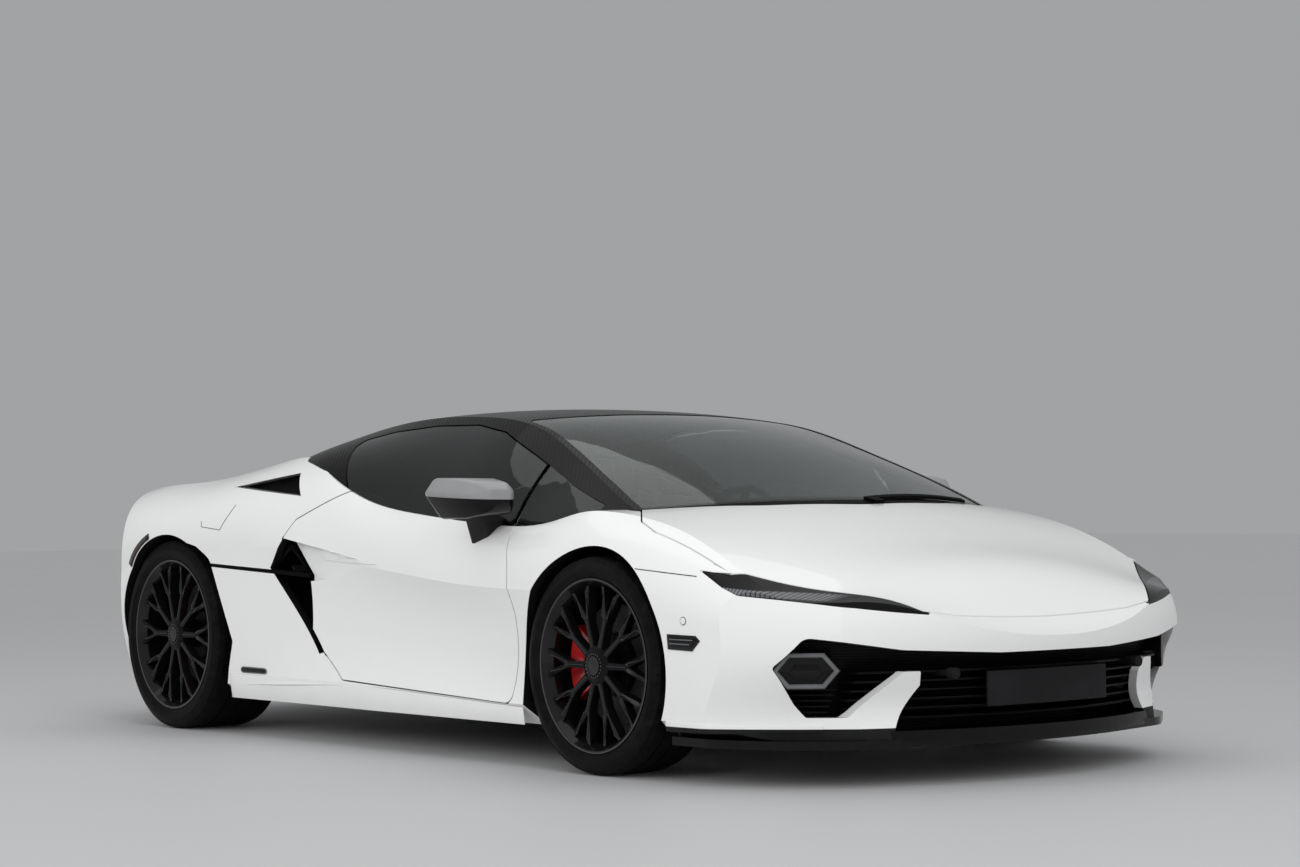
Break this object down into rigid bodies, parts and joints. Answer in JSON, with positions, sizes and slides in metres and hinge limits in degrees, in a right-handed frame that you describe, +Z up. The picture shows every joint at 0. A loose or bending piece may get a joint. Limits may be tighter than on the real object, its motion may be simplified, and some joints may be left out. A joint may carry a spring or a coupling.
{
  "type": "supercar",
  "caption": "Low mid-engined sports coupe in white and black, with opening doors and lids, steered front wheels and spinning branched-spoke wheels.",
  "frame": {"origin": "middle of the car's footprint, on the floor under the tyres", "axes": "+X points forward, +Y to the car's left, +Z up"},
  "size_m": [4.6996, 2.2452, 1.2014],
  "materials": {
    "cabin_tub": "matte",
    "subframes": "gloss",
    "engine": "satin",
    "undertray": "matte",
    "arch_liners": "matte",
    "roof_frame": "gloss",
    "windscreen": "tinted",
    "quarter_glass": "tinted",
    "cowl": "matte",
    "wiper": "satin",
    "front_wings": "gloss",
    "headlamps": "tinted",
    "front_bumper": "gloss",
    "front_splitter": "gloss",
    "front_grille": "matte",
    "daylight_lamps": "gloss",
    "side_sills": "gloss",
    "side_intakes": "gloss",
    "rear_quarters": "gloss",
    "rear_bumper": "gloss",
    "rear_grille": "matte",
    "tail_lamps": "gloss",
    "rear_diffuser": "matte",
    "exhaust_tip": "satin",
    "rear_hubs": "satin",
    "seats": "satin",
    "dashboard": "matte",
    "luggage_tub": "matte",
    "steering_wheel": "satin",
    "bonnet": "gloss",
    "engine_cover": "gloss",
    "door_left": "gloss",
    "door_glass_left": "tinted",
    "mirror_left": "gloss",
    "front_hub_left": "satin",
    "rim_front_left": "gloss",
    "tyre_front_left": "satin",
    "rim_rear_left": "gloss",
    "tyre_rear_left": "satin",
    "door_right": "gloss",
    "door_glass_right": "tinted",
    "mirror_right": "gloss",
    "front_hub_right": "satin",
    "rim_front_right": "gloss",
    "tyre_front_right": "satin",
    "rim_rear_right": "gloss",
    "tyre_rear_right": "satin"
  },
  "bodies": {
    "chassis": {"cabin_tub": "cabin_tub", "subframes": "subframes", "engine": "engine", "undertray": "undertray", "arch_liners": "arch_liners", "roof_frame": "roof_frame", "windscreen": "windscreen", "quarter_glass": "quarter_glass", "cowl": "cowl", "wiper": "wiper", "front_wings": "front_wings", "headlamps": "headlamps", "front_bumper": "front_bumper", "front_splitter": "front_splitter", "front_grille": "front_grille", "daylight_lamps": "daylight_lamps", "side_sills": "side_sills", "side_intakes": "side_intakes", "rear_quarters": "rear_quarters", "rear_bumper": "rear_bumper", "rear_grille": "rear_grille", "tail_lamps": "tail_lamps", "rear_diffuser": "rear_diffuser", "exhaust_tip": "exhaust_tip", "rear_hubs": "rear_hubs", "seats": "seats", "dashboard": "dashboard", "luggage_tub": "luggage_tub"},
    "steering_wheel": {"steering_wheel": "steering_wheel"},
    "bonnet": {"bonnet": "bonnet"},
    "engine_cover": {"engine_cover": "engine_cover"},
    "door_left": {"door_left": "door_left", "door_glass_left": "door_glass_left", "mirror_left": "mirror_left"},
    "front_hub_left": {"front_hub_left": "front_hub_left"},
    "wheel_front_left": {"rim_front_left": "rim_front_left", "tyre_front_left": "tyre_front_left"},
    "wheel_rear_left": {"rim_rear_left": "rim_rear_left", "tyre_rear_left": "tyre_rear_left"},
    "door_right": {"door_right": "door_right", "door_glass_right": "door_glass_right", "mirror_right": "mirror_right"},
    "front_hub_right": {"front_hub_right": "front_hub_right"},
    "wheel_front_right": {"rim_front_right": "rim_front_right", "tyre_front_right": "tyre_front_right"},
    "wheel_rear_right": {"rim_rear_right": "rim_rear_right", "tyre_rear_right": "tyre_rear_right"}
  },
  "joints": [
    {"name": "door_left_hinge", "type": "hinge", "parent": "chassis", "child": "door_left", "pos_m": [0.822, 0.993, 0.5], "axis": [0, 0, -1], "range_deg": [0, 62]},
    {"name": "door_right_hinge", "type": "hinge", "parent": "chassis", "child": "door_right", "pos_m": [0.822, -0.993, 0.5], "axis": [0, 0, 1], "range_deg": [0, 62]},
    {"name": "bonnet_hinge", "type": "hinge", "parent": "chassis", "child": "bonnet", "pos_m": [1.257, 0, 0.846], "axis": [0, -1, 0], "range_deg": [0, 50]},
    {"name": "engine_cover_hinge", "type": "hinge", "parent": "chassis", "child": "engine_cover", "pos_m": [-0.797, 0, 1.13], "axis": [0, 1, 0], "range_deg": [0, 45]},
    {"name": "steering_wheel_turn", "type": "hinge", "parent": "chassis", "child": "steering_wheel", "pos_m": [0.33, 0.41, 0.735], "axis": [-0.9272, 0, 0.3746], "range_deg": [-360, 360]},
    {"name": "steer_left", "type": "hinge", "parent": "chassis", "child": "front_hub_left", "pos_m": [1.26, 0.815, 0.34325], "axis": [0, 0, 1], "range_deg": [-30, 30]},
    {"name": "steer_right", "type": "hinge", "parent": "chassis", "child": "front_hub_right", "pos_m": [1.26, -0.815, 0.34325], "axis": [0, 0, 1], "range_deg": [-30, 30]},
    {"name": "wheel_front_left_spin", "type": "hinge", "parent": "front_hub_left", "child": "wheel_front_left", "pos_m": [1.26, 0.861, 0.34325], "axis": [0, 1, 0], "continuous": true},
    {"name": "wheel_rear_left_spin", "type": "hinge", "parent": "chassis", "child": "wheel_rear_left", "pos_m": [-1.398, 0.835, 0.3642], "axis": [0, 1, 0], "continuous": true},
    {"name": "wheel_front_right_spin", "type": "hinge", "parent": "front_hub_right", "child": "wheel_front_right", "pos_m": [1.26, -0.861, 0.34325], "axis": [0, 1, 0], "continuous": true},
    {"name": "wheel_rear_right_spin", "type": "hinge", "parent": "chassis", "child": "wheel_rear_right", "pos_m": [-1.398, -0.835, 0.3642], "axis": [0, 1, 0], "continuous": true}
  ],
  "couplings": [
    {"joint": "steer_right", "follows": "steer_left", "ratio": 1},
    {"joint": "steering_wheel_turn", "follows": "steer_left", "ratio": 12}
  ]
}
